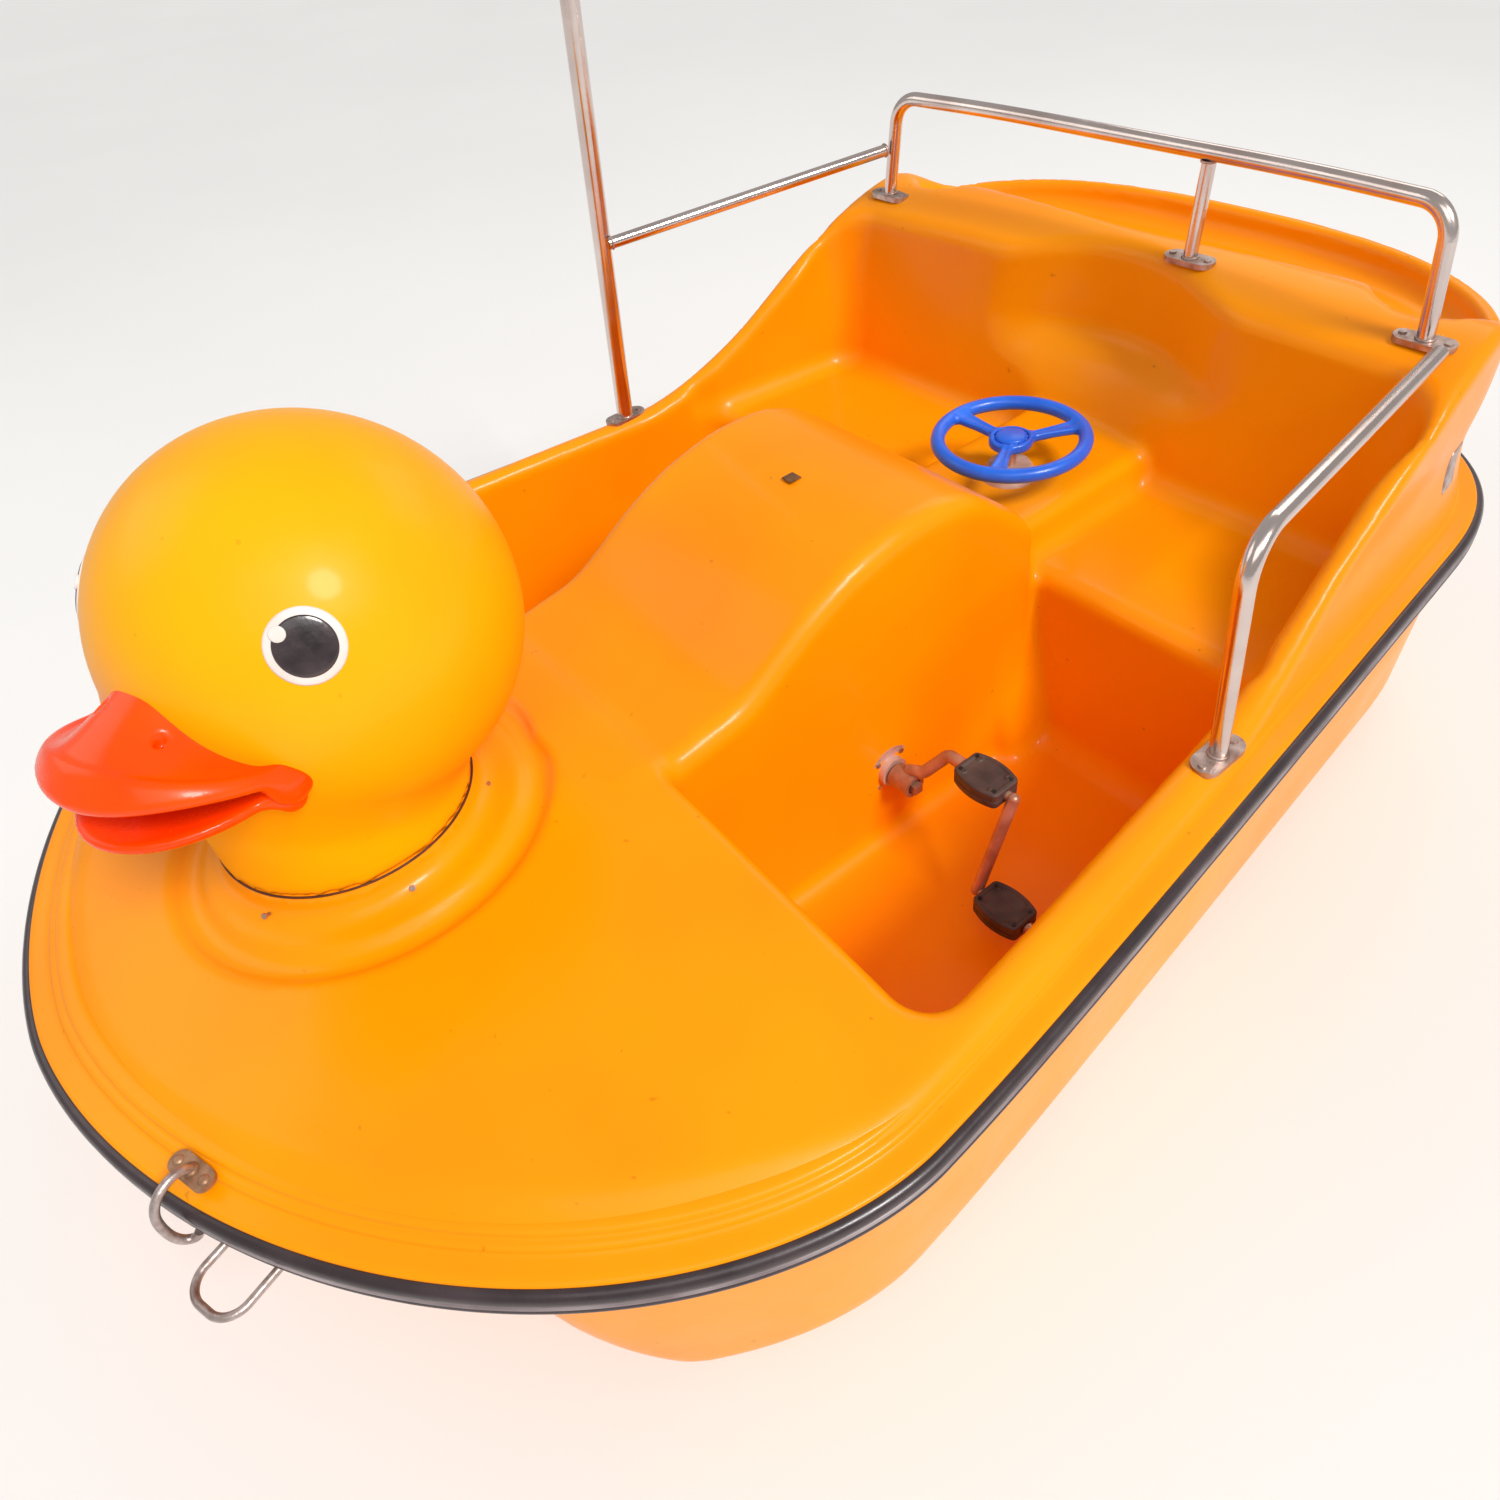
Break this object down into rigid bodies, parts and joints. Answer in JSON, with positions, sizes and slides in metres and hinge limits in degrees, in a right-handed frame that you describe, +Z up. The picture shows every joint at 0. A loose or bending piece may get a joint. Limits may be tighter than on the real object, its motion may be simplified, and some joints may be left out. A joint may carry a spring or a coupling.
{
  "type": "pedal boat",
  "caption": "Pedal boat with a duck's head at the bow, two footwells with bent cranks, a paddle wheel, a steering wheel linked to a rudder, stainless rails and a rubber fender.",
  "frame": {"origin": "centre of the boat's outline, on the plane of the keels", "axes": "+X to port, +Y aft, +Z up; the bow points along -Y"},
  "size_m": [1.7146, 2.5249, 1.4848],
  "materials": {
    "gelcoat": "glossy orange-yellow gelcoat over glass-fibre laminate",
    "head_gelcoat": "glossy yellow gelcoat",
    "beak_gelcoat": "glossy orange-red gelcoat",
    "eye_white": "gloss paint",
    "eye_black": "gloss paint, faintly streaked",
    "fender_rubber": "satin extruded rubber",
    "fender_insert": "satin light insert strip",
    "stainless_tube": "polished stainless tube with fine draw lines",
    "stainless_plate": "worn stainless sheet",
    "stainless_rod": "dull stainless rod",
    "flange_metal": "dull coated flange",
    "crank_steel": "dull coated steel with light wear",
    "pedal_plastic": "dark moulded plastic",
    "pedal_screw": "dark recessed screw heads",
    "wheel_plastic": "satin blue moulded plastic",
    "paddle_plastic": "grey moulded plastic",
    "foam": "rigid buoyancy foam",
    "patch": "brown sealing patch"
  },
  "bodies": {
    "boat": {"bearing_flange_bolts": "stainless_plate", "bow_foam": "foam", "bow_hook": "stainless_rod", "bow_plate": "stainless_plate", "bow_plate_screws": "stainless_plate", "column_flange": "flange_metal", "deck_moulding": "gelcoat", "drain_plug": "paddle_plastic", "eye_highlights": "eye_white", "eye_pupils": "eye_black", "eye_whites": "eye_white", "fender": "fender_rubber", "fender_insert": "fender_insert", "head_shell": "head_gelcoat", "hull_moulding": "gelcoat", "hump_patch": "patch", "lower_beak": "beak_gelcoat", "neck_screws": "stainless_plate", "pole_cap": "stainless_tube", "port_bearing_flange": "flange_metal", "port_side_rail": "stainless_tube", "rail_base_plates": "stainless_plate", "rail_plate_screws": "stainless_plate", "rating_plate": "stainless_plate", "rear_middle_post": "stainless_tube", "rear_rail": "stainless_tube", "rudder_tube": "paddle_plastic", "starboard_bearing_flange": "flange_metal", "starboard_side_rail": "stainless_tube", "stern_foam": "foam", "tall_pole": "stainless_tube", "tow_eye": "stainless_rod", "upper_beak": "beak_gelcoat"},
    "drive": {"paddle_shaft": "crank_steel", "paddle_hub": "paddle_plastic", "paddle_blades": "paddle_plastic", "port_crank": "crank_steel", "starboard_crank": "crank_steel"},
    "port_inner_pedal_body": {"port_inner_pedal": "pedal_plastic", "port_inner_pedal_screws": "pedal_screw"},
    "port_outer_pedal_body": {"port_outer_pedal": "pedal_plastic", "port_outer_pedal_screws": "pedal_screw"},
    "starboard_inner_pedal_body": {"starboard_inner_pedal": "pedal_plastic", "starboard_inner_pedal_screws": "pedal_screw"},
    "starboard_outer_pedal_body": {"starboard_outer_pedal": "pedal_plastic", "starboard_outer_pedal_screws": "pedal_screw"},
    "steering": {"steering_wheel": "wheel_plastic", "steering_wheel_cap": "wheel_plastic", "steering_column": "crank_steel", "pitman_arm": "crank_steel", "pitman_pin": "crank_steel"},
    "link": {"drag_link": "crank_steel"},
    "rudder": {"tiller_arm": "crank_steel", "tiller_pin": "crank_steel", "rudder_stock": "crank_steel", "rudder_blade": "paddle_plastic"}
  },
  "joints": [
    {"name": "paddle_turn", "type": "hinge", "parent": "boat", "child": "drive", "pos_m": [0, -0.0175, 0.22], "axis": [1, 0, 0], "continuous": true},
    {"name": "port_inner_pedal_spin", "type": "hinge", "parent": "drive", "child": "port_inner_pedal_body", "pos_m": [0.43, 0.01829, 0.30039], "axis": [1, 0, 0], "continuous": true},
    {"name": "port_outer_pedal_spin", "type": "hinge", "parent": "drive", "child": "port_outer_pedal_body", "pos_m": [0.545, -0.05329, 0.13961], "axis": [1, 0, 0], "continuous": true},
    {"name": "starboard_inner_pedal_spin", "type": "hinge", "parent": "drive", "child": "starboard_inner_pedal_body", "pos_m": [-0.43, -0.05329, 0.13961], "axis": [1, 0, 0], "continuous": true},
    {"name": "starboard_outer_pedal_spin", "type": "hinge", "parent": "drive", "child": "starboard_outer_pedal_body", "pos_m": [-0.545, 0.01829, 0.30039], "axis": [1, 0, 0], "continuous": true},
    {"name": "steering_turn", "type": "hinge", "parent": "boat", "child": "steering", "pos_m": [0.055, 0.4775, 0.3], "axis": [0, 0, 1], "range_deg": [-40, 40]},
    {"name": "link_swing", "type": "hinge", "parent": "steering", "child": "link", "pos_m": [0.145, 0.4775, 0.3], "axis": [0, 0, 1], "range_deg": [-40, 40]},
    {"name": "rudder_turn", "type": "hinge", "parent": "boat", "child": "rudder", "pos_m": [0, 1.0625, 0.3], "axis": [0, 0, 1], "range_deg": [-40, 40]}
  ],
  "couplings": [
    {"joint": "link_swing", "follows": "steering_turn", "ratio": -1},
    {"joint": "rudder_turn", "follows": "steering_turn", "ratio": 1}
  ]
}
